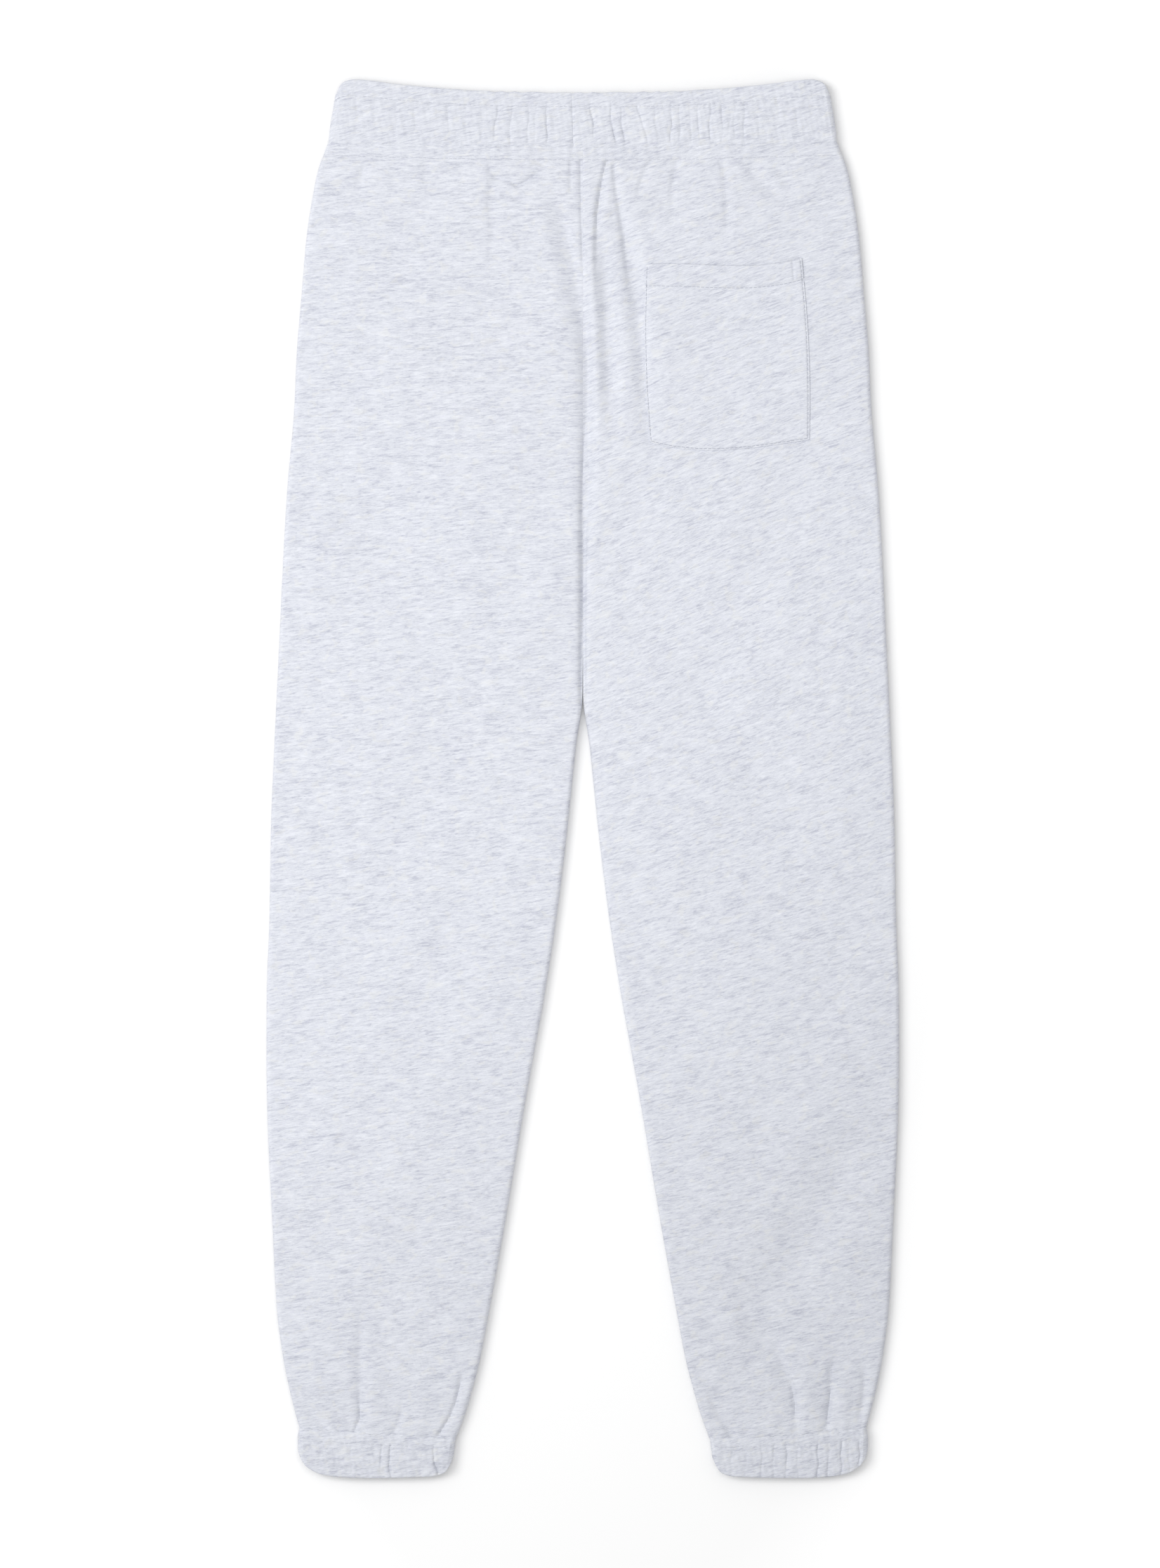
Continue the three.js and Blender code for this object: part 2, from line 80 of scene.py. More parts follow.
# Folds of the back. Each follows its path from the first point to the last, and is as wide to
# its left and to its right as given. Lift below zero is a trough, lip the share of it that
# stands up again to its right, sharp how pointed it is, and the two fades are the shares of
# its length over which it starts and ends.
backFolds = [
    # left, right, lift, lip, sharp, fade in, fade out, path
    (1.8, 1.6, -1.3, 0, 0.6, 0.03, 0.3, [(-1.6, 470), (-1.4, 440), (-0.4, 400), (0, 372)]),
    (6.4, 4.6, -4.3, 0, 0.2, 0.3, 0.4,
     [(-3, 415), (1, 362), (3.6, 300), (3.8, 240), (2.4, 180), (1, 130)]),
    (2.9, 2.3, -4.5, 0, 0.1, 0.4, 0.1, [(3, 290), (2, 240), (0.8, 180), (0.4, 110), (0.2, 46)]),
    (3.4, 5, 1, 0, 0, 0.1, 0.5, [(6, 466), (7, 400), (8.8, 300), (9, 200)]),
    (1.6, 4, -2.5, 0, 0.6, 0.05, 0.65,
     [(18.6, 470), (16.2, 460), (13.4, 446), (10.6, 424), (9.8, 396), (11, 350)]),
    (6.4, 8, -3.6, 0, 0, 0.2, 0.35, [(14, 425), (18, 360), (20, 310), (23, 240)]),
    (7.4, 8, -3.7, 0, 0.2, 0.25, 0.4,
     [(25, 448), (33.6, 408), (38.6, 375), (42.6, 343), (46, 305), (50, 262), (55, 225)]),
    (2, 4, -1.9, 0.1, 0.5, 0.05, 0.5, [(22.6, 469), (24.8, 448), (31, 408), (35, 375), (38, 350)]),
    (3, 3, 0.8, 0, 0, 0.1, 0.6, [(19.6, 466), (18.8, 450), (18, 430), (17, 405)]),
    (8, 4.5, -2.5, 0, 0, 0.3, 0.4,
     [(-25, 452), (-18.4, 432), (-13, 412), (-8, 388), (-3.6, 352), (0, 310)]),
    (7, 7, 0.7, 0, 0, 0.2, 0.6, [(-37, 456), (-28, 410), (-20, 350), (-15, 290)]),
    (2.4, 8, -1.3, 0, 0.2, 0.06, 0.7,
     [(-71.8, 466), (-69.2, 452), (-70.6, 436), (-68.4, 414), (-69.8, 390), (-67, 355)]),
    (1.3, 2.2, -0.9, 0, 0.4, 0.1, 0.5, [(-9.7, 469), (-9.4, 452), (-10.2, 432)]),
    (1.8, 3, -1.2, 0.1, 0.4, 0.1, 0.5, [(52, 469), (46.5, 458), (42.4, 444), (41, 430)]),
    (1.8, 3, -1.2, 0.1, 0.4, 0.1, 0.5, [(71.6, 470), (68, 452), (66.8, 432), (67, 415)]),
    (2.2, 3.4, -1.3, 0.1, 0.3, 0.1, 0.5, [(103.8, 470), (106.8, 456), (108.4, 430), (107.6, 396)]),
    (12, 12, 0.8, 0, 0, 0.1, 0.6, [(88, 470), (88, 412)]),
    (5.1, 8, -1.7, 0, 0.1, 0.15, 0.5, [(121, 470), (132, 453), (150, 434), (158, 422)]),
    (2.5, 3.6, -0.9, 0.1, 0.2, 0.1, 0.5, [(146, 464), (152, 451), (160, 435)]),
    (2.2, 3.6, -1.8, 0.1, 0.3, 0.1, 0.5, [(-166, 463), (-168, 450), (-171, 438)]),
    (2.5, 3.5, -0.5, 0.1, 0.2, 0.1, 0.5, [(-119, 469), (-118, 450), (-117, 430)]),
    (2.5, 3.5, -0.4, 0.1, 0.2, 0.1, 0.5, [(-143, 469), (-143.6, 446), (-143, 430)]),
    (2.5, 3.2, -0.5, 0.1, 0.2, 0.1, 0.5, [(-93, 469), (-91, 452), (-91, 432)]),
    # the buckle in the cloth below the waistband
    (1.7, 2.6, -2.4, 0.1, 0.3, 0.06, 0.3,
     [(-69, 454), (-62, 453), (-56, 451.6), (-49, 447.4), (-43, 450.4), (-38, 453.6), (-33, 456),
      (-28, 454), (-25, 450.6)]),
    (1.4, 2.2, -0.9, 0.1, 0.3, 0.1, 0.3, [(-40, 461), (-35, 464), (-30, 463), (-25, 460)]),
    (1.6, 2.8, -1.1, 0, 0.2, 0.1, 0.3, [(-62, 440), (-56, 441), (-50, 437.5), (-43, 438)]),
    # broad hollows of the thighs and the calf
    (26, 30, -2, 0, 0, 0.4, 0.5, [(-188, 256), (-160, 190), (-130, 120)]),
    (30, 30, -1.8, 0, 0, 0.4, 0.5, [(-80, 60), (-110, -20), (-120, -120)]),
    (20, 26, -1.8, 0, 0, 0.4, 0.5, [(60, 90), (120, 20), (190, -30)]),
    (28, 24, -3.2, 0, 0, 0.3, 0.3, [(222, -246), (184, -318), (152, -376), (136, -410)]),
    (10.2, 14, -2.4, 0, 0, 0.3, 0.4, [(116, -380), (134, -418), (148, -448)]),
    # above the cuffs
    (1.5, 2.2, -1.7, 0.1, 0.6, 0.5, 0.12,
     [(-168.6, -452), (-168.4, -466), (-168.2, -480), (-171.6, -491), (-175, -498)]),
    (4.5, 3, -1.7, 0.1, 0.2, 0.5, 0.2,
     [(-166.6, -380), (-167.6, -412), (-168.2, -447), (-168.4, -466), (-167.8, -480),
      (-171.6, -491), (-175, -499)]),
    (2.2, 3, -1, 0, 0.4, 0.4, 0.1,
     [(-136, -462), (-136.6, -474), (-138.6, -484), (-142.4, -493), (-145, -499)]),
    (1.7, 2.4, -2.2, 0.05, 0.5, 0.25, 0.1,
     [(-91.6, -444), (-92, -452), (-94, -463), (-98.6, -478), (-103.5, -487), (-109, -496), (-110, -499)]),
    (4, 5, -2, 0, 0.2, 0.25, 0.1, [(-221, -452), (-217, -462), (-208, -474), (-199, -485.5), (-195, -492)]),
    (6, 6, 0.8, 0, 0, 0.4, 0.05, [(-156, -430), (-158, -498)]),
    (9, 9, 0.7, 0, 0, 0.4, 0.05, [(-119, -440), (-126, -498)]),
    (1.5, 2.2, -1.5, 0.1, 0.6, 0.4, 0.4, [(153, -446), (157.6, -459), (160, -474), (160.4, -490)]),
    (6.8, 3.6, -2.3, 0.1, 0.3, 0.5, 0.3,
     [(138, -404), (142.4, -419), (150, -438), (154, -452), (158.7, -462), (160.2, -477), (160, -497)]),
    (1.4, 2, -1.4, 0.1, 0.6, 0.4, 0.2, [(187.2, -452), (187, -466), (185.4, -480), (184, -496)]),
    (3.7, 3, -1.7, 0.1, 0.4, 0.4, 0.3,
     [(193, -424), (191.6, -433), (187.6, -446), (187, -463), (185, -477), (184, -497)]),
    (3.1, 3, -1.8, 0.1, 0.4, 0.4, 0.35,
     [(206, -432), (209.6, -440), (212.8, -450), (212, -467), (209.6, -480), (206, -496)]),
    (3, 5, -1.7, 0, 0.2, 0.3, 0.1, [(94, -458), (98, -469), (105, -484), (111, -494), (112, -499)]),
    (7, 7, 1, 0, 0, 0.4, 0.05, [(168, -430), (172, -498)]),
    (6, 6, 0.8, 0, 0, 0.4, 0.05, [(199, -440), (196, -498)]),
    (10, 10, 0.7, 0, 0, 0.4, 0.05, [(128, -440), (134, -498)]),
]

# Slow undulation of cloth that lies loose: wavelength across, wavelength down, height, phase.
slack = [
    (170, 310, 0.4, 0.4),
    (-96, 205, 0.3, 2.1),
    (61, -150, 0.2, 4.0),
    (230, 88, 0.2, 1.2),
    (38, 64, 0.08, 3.1),
]


# Tables and curves

def smoothTable(places, values, at):
    order = np.argsort(places)
    p = np.array(places, float)[order]
    v = np.array(values, float)[order]
    slope = np.diff(v) / np.diff(p)
    before, after = slope[:-1], slope[1:]
    total = np.where(np.abs(before + after) < 1e-9, 1, before + after)
    inner = np.where(before * after > 0, 2 * before * after / total, 0)
    tangent = np.concatenate([slope[:1], inner, slope[-1:]])
    at = np.clip(at, p[0], p[-1])
    i = np.clip(np.searchsorted(p, at) - 1, 0, len(p) - 2)
    span = p[i + 1] - p[i]
    t = (at - p[i]) / span
    bend = (1 - t) * tangent[i] * span - t * tangent[i + 1] * span + (2 * t - 1) * (v[i + 1] - v[i])
    return v[i] + (v[i + 1] - v[i]) * t + t * (1 - t) * bend


def smoothStep(low, high, at):
    t = np.clip((at - low) / (high - low), 0, 1)
    return t * t * (3 - 2 * t)


def mix(a, b, t):
    return a + (b - a) * t


# Values from one column of a table, for places in its first column.
def column(table, which, at):
    return smoothTable([row[0] for row in table], [row[which] for row in table], at)


def legEdge(which, y):
    return column(legCut["edges"], which, y)


# Sewn seams wander a little.
def wander(x):
    return 0.3 * np.sin(0.53 * x + 2 * np.sin(x / 11)) + 0.25 * np.sin(0.19 * x + 1)


def waistSeam(x):
    middle, side = legCut["waistSeam"]
    return mix(middle, side, (x / waistbandCut["sides"][0][1]) ** 2) + wander(x)


def cuffSeam(x):
    inner, outer = cuffCut["edges"][1][1], cuffCut["edges"][0][2]
    level = mix(*legCut["cuffSeam"], (np.abs(x) - inner) / (outer - inner))
    return level + 1.3 * wander(1.4 * x)


def parted(y):
    low, high = legCut["crotch"] - legCut["crotchBlend"], legCut["crotch"] + legCut["crotchBlend"]
    return 1 - smoothStep(low, high, y)


def foldHeight(x, y):
    total = np.zeros_like(x)
    for left, right, lift, lip, sharp, fadeIn, fadeOut, path in backFolds:
        px, py = np.array(path, float).T
        steep = abs(py[-1] - py[0]) > abs(px[-1] - px[0])
        (run, off), (at, side) = ((py, px), (y, x)) if steep else ((px, py), (x, y))
        t = (at - run[0]) / (run[-1] - run[0])
        lean = (off[-1] - off[0]) / (run[-1] - run[0])
        away = (side - smoothTable(run, off, at)) / math.hypot(1, lean)
        away = np.where(away < 0, away / left, away / right)
        fade = smoothStep(0, fadeIn, t) * (1 - smoothStep(1 - fadeOut, 1, t))
        rounded = np.exp(-away ** 2)
        pointed = np.exp(-1.5 * (np.sqrt(away ** 2 + 0.02) - math.sqrt(0.02)))
        ridge = lip * np.exp(-((away - 3) / 1.8) ** 2)
        near = (t > 0) & (t < 1) & (np.abs(away) < 7)
        total += np.where(near, lift * fade * (mix(rounded, pointed, sharp) - ridge), 0)
    return total


def slackHeight(x, y):
    turn = 2 * math.pi
    return sum(h * np.sin(turn * (x / across + y / down) + phase) for across, down, h, phase in slack)


# Half the thickness of the flattened leg, from its side seams up to its back.
def backRise(x, y):
    inner, outer = legEdge(1, y), legEdge(2, y)
    u = np.clip((np.abs(x) - inner) / (outer - inner), 0, 1)
    power = legCut["crownPower"]
    rounding = 1 - parted(y) * (1 - u) ** power - u ** power
    rise = legCut["half"] + legCut["crown"] * rounding + foldHeight(x, y)
    rise = rise + slackHeight(x, y) * rounding
    # the back's inside stays clear of the front's, where that dips least
    inside = 2 * legCut["shell"] + legCut["underLift"] + legCut["clearInside"]
    return np.maximum(rise, inside - legCut["half"] - legCut["seamGap"])


def backTop(x, y):
    return legCut["half"] + legCut["seamGap"] + backRise(x, y)


# Meshes

def clearSelection():
    if bpy.context.object and bpy.context.object.mode != "OBJECT":
        bpy.ops.object.mode_set(mode="OBJECT")
    bpy.ops.object.select_all(action="DESELECT")


def select(piece):
    clearSelection()
    piece.select_set(True)
    bpy.context.view_layer.objects.active = piece


# A flat grid is added, and each of its points is then moved to its place on the cloth.
# places has one row of points for each height, and grain a matching row of pattern places.
def clothGrid(name, places, grain):
    rows, columns = places.shape[0] - 1, places.shape[1] - 1
    clearSelection()
    bpy.ops.mesh.primitive_grid_add(x_subdivisions=columns, y_subdivisions=rows, size=1, calc_uvs=True)
    piece = bpy.context.object
    piece.name = name
    piece.data.name = name
    mesh = piece.data
    flat = np.empty(len(mesh.vertices) * 3)
    mesh.vertices.foreach_get("co", flat)
    flat = flat.reshape(-1, 3)
    across = np.rint((flat[:, 0] + 0.5) * columns).astype(int)
    up = np.rint((flat[:, 1] + 0.5) * rows).astype(int)
    mesh.vertices.foreach_set("co", (places[up, across] * mm).ravel())
    corners = np.empty(len(mesh.loops), int)
    mesh.loops.foreach_get("vertex_index", corners)
    mesh.uv_layers[0].name = "grain"
    mesh.uv_layers[0].data.foreach_set("uv", (grain[up, across][corners] * mm).ravel())
    mesh.update()
    return piece


def flipFaces(piece):
    select(piece)
    bpy.ops.object.mode_set(mode="EDIT")
    bpy.ops.mesh.select_all(action="SELECT")
    bpy.ops.mesh.flip_normals()
    bpy.ops.object.mode_set(mode="OBJECT")


def giveThickness(piece, thickness):
    select(piece)
    wall = piece.modifiers.new("wall", "SOLIDIFY")
    wall.thickness = thickness * mm
    wall.offset = -1
    wall.use_rim = True
    bpy.ops.object.modifier_apply(modifier=wall.name)


def closeTube(piece):
    select(piece)
    bpy.ops.object.mode_set(mode="EDIT")
    bpy.ops.mesh.select_all(action="SELECT")
    bpy.ops.mesh.remove_doubles(threshold=1e-6)
    bpy.ops.mesh.select_all(action="SELECT")
    bpy.ops.mesh.fill_holes(sides=0)
    bpy.ops.mesh.select_all(action="SELECT")
    bpy.ops.mesh.normals_make_consistent(inside=False)
    bpy.ops.object.mode_set(mode="OBJECT")


def finishPiece(piece, material, nodes=()):
    select(piece)
    bpy.ops.object.shade_smooth_by_angle(angle=math.radians(50))
    piece.data.materials.clear()
    piece.data.materials.append(material)
    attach(piece, "root")
    if nodes:
        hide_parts(*nodes)
    return piece


def between(spans):
    heights = [spans[0][0]]
    for top, bottom, steps in spans:
        heights.extend(np.linspace(top, bottom, steps + 1)[1:])
    return np.array(heights[::-1])


# The melange jersey

melange = {
    "light": (0.7, 0.718, 0.768),
    "middle": (0.6, 0.618, 0.672),
    "dark": (0.445, 0.46, 0.53),
    "violet": (0.46, 0.455, 0.6),
    "warm": (0.71, 0.705, 0.665),
    "ramp": (0.35, 0.49, 0.65),
    # length and height of a mark in millimetres, share of the colour, detail
    "layers": [((9, 1.3), 0.36, 2), ((15, 3.4), 0.22, 2), ((34, 12), 0.12, 2), ((2.8, 0.6), 0.3, 3)],
    # dyed marks: their size, then the span of their noise over which they come in and their share
    "dash": (6, 1.5),
    "dashSpan": (0.56, 0.74, 0.15),
    "fleck": (9, 5.5),
    "fleckSpan": (0.6, 0.72, 0.24),
    # painted shade, darker towards the hems: from and to in metres, and its share
    "paintedShadeSpan": (0.05, 0.55, 0.08),
    # width of a knit loop, and the depths of loops and fuzz, in millimetres
    "knit": 0.95,
    "knitDepth": 0.05,
    "fuzzDepth": 0.12,
    "roughness": 0.95,
    "sheen": 0.12,
}


def addNode(tree, kind, x, y, **settings):
    node = tree.nodes.new(kind)
    node.location = (x, y)
    for name, value in settings.items():
        setattr(node, name, value)
    return node


# One noise stretched to marks of the given length and height, in millimetres.
def grainNoise(tree, source, size, y, detail, shift):
    place = addNode(tree, "ShaderNodeMapping", -900, y)
    place.inputs["Scale"].default_value = (1 / (size[0] * mm), 1 / (size[1] * mm), 1)
    place.inputs["Location"].default_value = (shift, shift * 0.7, 0)
    noise = addNode(tree, "ShaderNodeTexNoise", -700, y, noise_dimensions="2D")
    noise.inputs["Scale"].default_value = 1
    noise.inputs["Detail"].default_value = detail
    noise.inputs["Roughness"].default_value = 0.55
    noise.inputs["Distortion"].default_value = 0.5
    tree.links.new(source, place.inputs["Vector"])
    tree.links.new(place.outputs["Vector"], noise.inputs["Vector"])
    return noise.outputs["Factor"] if "Factor" in noise.outputs else noise.outputs["Fac"]


def blend(tree, x, y, operation, a, b):
    node = addNode(tree, "ShaderNodeMath", x, y, operation=operation)
    for socket, value in zip(node.inputs, (a, b)):
        if isinstance(value, (int, float)):
            socket.default_value = value
        else:
            tree.links.new(value, socket)
    return node.outputs[0]


# A value brought from between low and high to between nothing and most.
def spreadValue(tree, value, low, high, most):
    spread = addNode(tree, "ShaderNodeMapRange", -480, -600)
    spread.inputs["From Min"].default_value = low
    spread.inputs["From Max"].default_value = high
    spread.inputs["To Max"].default_value = most
    tree.links.new(value, spread.inputs["Value"])
    return spread.outputs["Result"]


def tinted(tree, x, colour, tint, factor):
    node = addNode(tree, "ShaderNodeMix", x, 150, data_type="RGBA")
    node.inputs["B"].default_value = (*tint, 1)
    tree.links.new(colour, node.inputs["A"])
    tree.links.new(factor, node.inputs["Factor"])
    return node.outputs["Result"]


def melangeJersey(name, shift):
    material = bpy.data.materials.new(name)
    material.use_nodes = True
    tree = material.node_tree
    shader = tree.nodes["Principled BSDF"]
    shader.inputs["Roughness"].default_value = melange["roughness"]
    shader.inputs["Specular IOR Level"].default_value = 0.25
    shader.inputs["Sheen Weight"].default_value = melange["sheen"]
    shader.inputs["Sheen Roughness"].default_value = 0.6
    grain = addNode(tree, "ShaderNodeUVMap", -1150, 0, uv_map="grain").outputs["UV"]
    # streaks carry most of the colour, then wider marks, broad patches and single fibres
    total = None
    for number, (size, share, detail) in enumerate(melange["layers"]):
        noise = grainNoise(tree, grain, size, 300 - 300 * number, detail, shift + 3.5 * number)
        layer = blend(tree, -480, 250 - 200 * number, "MULTIPLY", noise, share)
        total = blend(tree, -300, 150, "ADD", total, layer) if number else layer
    ramp = addNode(tree, "ShaderNodeValToRGB", -150, 200)
    stops = ramp.color_ramp.elements
    low, half, high = melange["ramp"]
    stops[0].position, stops[0].color = low, (*melange["dark"], 1)
    stops[1].position, stops[1].color = high, (*melange["light"], 1)
    stops.new(half).color = (*melange["middle"], 1)
    tree.links.new(total, ramp.inputs["Fac"])
    # violet dashes and warm flecks, where a dyed fibre lies on top
    dash = grainNoise(tree, grain, melange["dash"], -600, 1, shift + 11)
    dashFactor = spreadValue(tree, dash, *melange["dashSpan"])
    dashed = tinted(tree, 0, ramp.outputs["Color"], melange["violet"], dashFactor)
    fleck = grainNoise(tree, grain, melange["fleck"], -1300, 1, shift + 17)
    fleckFactor = spreadValue(tree, fleck, *melange["fleckSpan"])
    flecked = tinted(tree, 200, dashed, melange["warm"], fleckFactor)
    # painted shade: the legs are a little darker towards their hems and their right sides, where the light
    # falls off
    spot = addNode(tree, "ShaderNodeTexCoord", -1150, 600).outputs["Object"]
    lean = addNode(tree, "ShaderNodeVectorMath", -900, 600, operation="DOT_PRODUCT")
    lean.inputs[1].default_value = (1, -1, 0)
    tree.links.new(spot, lean.inputs[0])
    paintedShadeFactor = spreadValue(tree, lean.outputs["Value"], *melange["paintedShadeSpan"])
    # painted shade: the cloth's colour is mixed towards black along that lean
    shaded = tinted(tree, 400, flecked, (0, 0, 0), paintedShadeFactor)
    tree.links.new(shaded, shader.inputs["Base Color"])
    # knit loops and fuzz, as relief
    knitPlace = addNode(tree, "ShaderNodeMapping", -900, -900)
    knitPlace.inputs["Scale"].default_value = (1 / (melange["knit"] * mm),) * 3
    knit = addNode(tree, "ShaderNodeTexWave", -700, -900, wave_type="BANDS", bands_direction="X")
    knit.inputs["Scale"].default_value = 0.32
    knit.inputs["Distortion"].default_value = 1.5
    knit.inputs["Detail"].default_value = 1
    tree.links.new(grain, knitPlace.inputs["Vector"])
    tree.links.new(knitPlace.outputs["Vector"], knit.inputs["Vector"])
    knitBump = addNode(tree, "ShaderNodeBump", 60, -300)
    knitBump.inputs["Strength"].default_value = 0.5
    knitBump.inputs["Distance"].default_value = melange["knitDepth"] * mm
    fuzzBump = addNode(tree, "ShaderNodeBump", 260, -300)
    fuzzBump.inputs["Strength"].default_value = 0.6
    fuzzBump.inputs["Distance"].default_value = melange["fuzzDepth"] * mm
    tree.links.new(knit.outputs["Fac"], knitBump.inputs["Height"])
    tree.links.new(total, fuzzBump.inputs["Height"])
    tree.links.new(knitBump.outputs["Normal"], fuzzBump.inputs["Normal"])
    tree.links.new(fuzzBump.outputs["Normal"], shader.inputs["Normal"])
    return material


# Where the pattern lies: the streaks climb to the right by an angle that changes down the leg.
grainAngle = {
    -1: [(-500, 8), (-200, 9), (60, 7), (250, 5), (420, 3), (530, 3)],
    1: [(-500, 12), (-250, 13), (0, 17), (150, 21), (350, 19), (480, 15), (530, 14)],
}


def grainPlaces(side, x, y, shift):
    slope = np.tan(np.radians(column(grainAngle[side], 1, y)))
    return np.stack([x + slope * y + shift, y - slope * x + shift * 0.37], axis=-1)


# Leg panels

# Where the turning of a seam lies under the cloth, it is held flat and a little raised. Next to
# the elastic the cloth puckers, by so much and as far as given.
sewing = {
    "stripWidth": 9,
    "stripLift": 0.35,
    "stripHold": 0.6,
    "stripGroove": 0.3,
    "lap": 1.2,
    "rollDepth": 0.26,
    "rollReach": 1.0,
    "underShare": 0.4,
    "puckers": 0.28,
    "waistReach": 9,
    "cuffReach": 8,
    "cuffPuckers": 1.2,
}


def sewnStrip(x, y):
    below = waistSeam(x) - y
    flat = smoothStep(sewing["stripWidth"] + 1.2, sewing["stripWidth"] - 0.6, below)
    groove = sewing["stripGroove"] * np.exp(-((below - sewing["stripWidth"]) / 0.9) ** 2)
    return flat * (sewing["stripLift"] - sewing["stripHold"] * foldHeight(x, y)) - groove


# Uneven ripples along a seam with elastic, dying out away from it.
def puckers(x, away, reach):
    wave = np.sin(0.86 * x + 1.9 * np.sin(x / 13.7)) + 0.6 * np.sin(0.37 * x + 2.2 * np.sin(x / 23) + 1)
    return sewing["puckers"] * wave * np.exp(-np.maximum(away, 0) / reach)


# Cloth rolls down into a seam within a millimetre or so.
def seamRoll(x, y):
    reach = sewing["rollReach"]
    waist = np.exp(-np.maximum(waistSeam(x) - y, 0) / reach)
    cuff = np.exp(-np.maximum(y - cuffSeam(x), 0) / reach)
    centre = 0.8 * np.exp(-np.abs(x) / reach) * (1 - parted(y))
    return sewing["rollDepth"] * np.maximum(np.maximum(waist, cuff), centre)


def panelTop(x, y):
    waist = puckers(x, waistSeam(x) - y, sewing["waistReach"])
    cuff = sewing["cuffPuckers"] * puckers(0.66 * x + 40, y - cuffSeam(x), sewing["cuffReach"])
    return backTop(x, y) + sewnStrip(x, y) - seamRoll(x, y) + waist + cuff


def legPanel(side, isBack):
    word = "back" if isBack else "front"
    heights = between(legCut[word + "Rows"])
    steps, columns = legCut["curlColumns"], legCut[word + "Columns"]
    turnIn = np.linspace(math.pi / 2, 0, steps + 1)[:-1]
    turn = np.concatenate([turnIn, np.zeros(columns + 1), turnIn[::-1]])
    run = np.concatenate([np.zeros(steps), np.linspace(0, 1, columns + 1), np.ones(steps)])
    edge = np.concatenate([-np.ones(steps), np.zeros(columns + 1), np.ones(steps)])
    if side < 0:
        turn, run, edge = turn[::-1], run[::-1], edge[::-1]
    run, height = np.meshgrid(run, heights)
    if isBack:
        dense = mix(run ** legCut["crowdPower"], run, legCut["evenShare"])
        run = mix(run, dense, smoothStep(legCut["crowdFrom"], legCut["crowdFull"], height))
    share = (height - heights[0]) / (heights[-1] - heights[0])
    curl, gap, half = legCut["curl"], legCut["seamGap"], legCut["half"]
    inset = curl * (1 - np.sin(turn))
    y = height
    for _ in range(3):
        inner = np.maximum(legEdge(1, y), 0.01)
        outer = legEdge(2, y)
        flat = mix(inner + curl, outer - curl, run)
        x = np.where(edge < 0, inner + inset, np.where(edge > 0, outer - inset, flat))
        y = mix(cuffSeam(x) - sewing["lap"], waistSeam(x) + sewing["lap"], share)
    turned = np.where(edge < 0, parted(y), 1)
    if isBack:
        level = panelTop(side * x, y) - half - gap
    else:
        folded = np.clip(sewing["underShare"] * foldHeight(-side * x, y), -legCut["underLift"], 0)
        level = half + folded - seamRoll(x, y)
    level = level * (1 - turned * (1 - np.cos(turn)))
    z = half + gap + level if isBack else half - level
    places = np.stack([side * x, y, z], axis=-1)
    around = x + edge * (4 * turn - curl + inset) * turned
    grain = grainPlaces(side, side * around, y, 300 * side + (0 if isBack else 700))
    piece = clothGrid(word + ("LegLeft" if side < 0 else "LegRight"), places, grain)
    if not isBack:
        flipFaces(piece)
    giveThickness(piece, legCut["shell"])
    return finishPiece(piece, jersey, [word + ("_left" if side < 0 else "_right")])


# Waistband and cuffs: strips gathered by elastic, closed into rings at one seam

# Both cuts: hold is where along the height the creases start, are full, fade and end; slope is how
# far the cloth dips to the seam, and bead the share of the height that each rounded edge takes.
waistbandCut = {
    "wall": 3,
    "half": 4.3,
    "crown": 0.6,
    "puff": 0.8,
    "sides": [(478, 192.3), (490, 191.2), (503, 189.2), (516, 187), (530, 185.4)],
    # share of the half width, height of the top edge
    "top": [(0, 518.2), (0.33, 519), (0.54, 520.8), (0.66, 522.6), (0.78, 525), (0.87, 527.2),
            (0.93, 528), (0.965, 526.6), (0.985, 523.5), (1, 517)],
    "hold": (0.02, 0.2, 0.68, 0.84),
    # place at the seam, place at the top, bow of the middle, depth, half width
    "creases": [
        (-172, -170, 0, 0.3, 1.72), (-157, -156, 0, 0.24, 1.88), (-141, -140.5, 0, 0.34, 1.56),
        (-127.5, -127.5, 0.5, 0.39, 1.49), (-114.5, -115, 0, 0.3, 1.72), (-101, -101.5, 0, 0.49, 1.41),
        (-88, -88, 0, 0.49, 1.41), (-77, -76.5, 0.5, 0.39, 1.56), (-67, -62.5, -0.5, 1.17, 1.17),
        (-54.6, -52, -0.8, 0.97, 1.1), (-41.4, -40.5, 0, 0.78, 1.1), (-36.6, -35.5, 0.5, 0.58, 1.02),
        (-26.2, -25.4, -1.5, 1.65, 1.02), (9.6, 3.6, 0.6, 1.17, 0.94), (26, 19.8, -1, 1.84, 1.02),
        (33, 27, -0.6, 1.17, 0.94), (49.6, 38, 0.6, 1.17, 1.02), (58, 52, 0, 0.49, 1.1),
        (66.6, 66.4, 0.3, 1.17, 1.02), (73.6, 73, -0.3, 0.68, 0.94), (81.4, 80.6, 0.4, 0.68, 1.02),
        (87.8, 87, 0, 0.78, 0.94), (96, 95.6, 0.4, 1.07, 1.02), (105.4, 105, 0, 0.68, 1.02),
        (110, 110.6, 0.4, 0.39, 0.94), (115, 114.6, -0.3, 0.58, 1.02), (121.8, 121.2, 0.4, 0.78, 1.02),
        (133, 132.6, 0, 0.39, 1.41), (147.5, 147, 0, 0.3, 1.72), (162, 161, 0, 0.34, 1.88),
        (175, 174, 0, 0.24, 1.88),
    ],
    # the back seam's place at the waist seam and at the top, and where the ring of cloth is cut
    "seamLean": (-7, -8.6),
    "seamCut": -8,
    "seamDip": 0.55,
    "ripple": 0.3,
    "stitchAt": 0.74,
    "slope": 0.5,
    "bead": 0.036,
    "backColumns": 640,
    "edgeColumns": 12,
    "frontColumns": 190,
    "rows": 38,
}

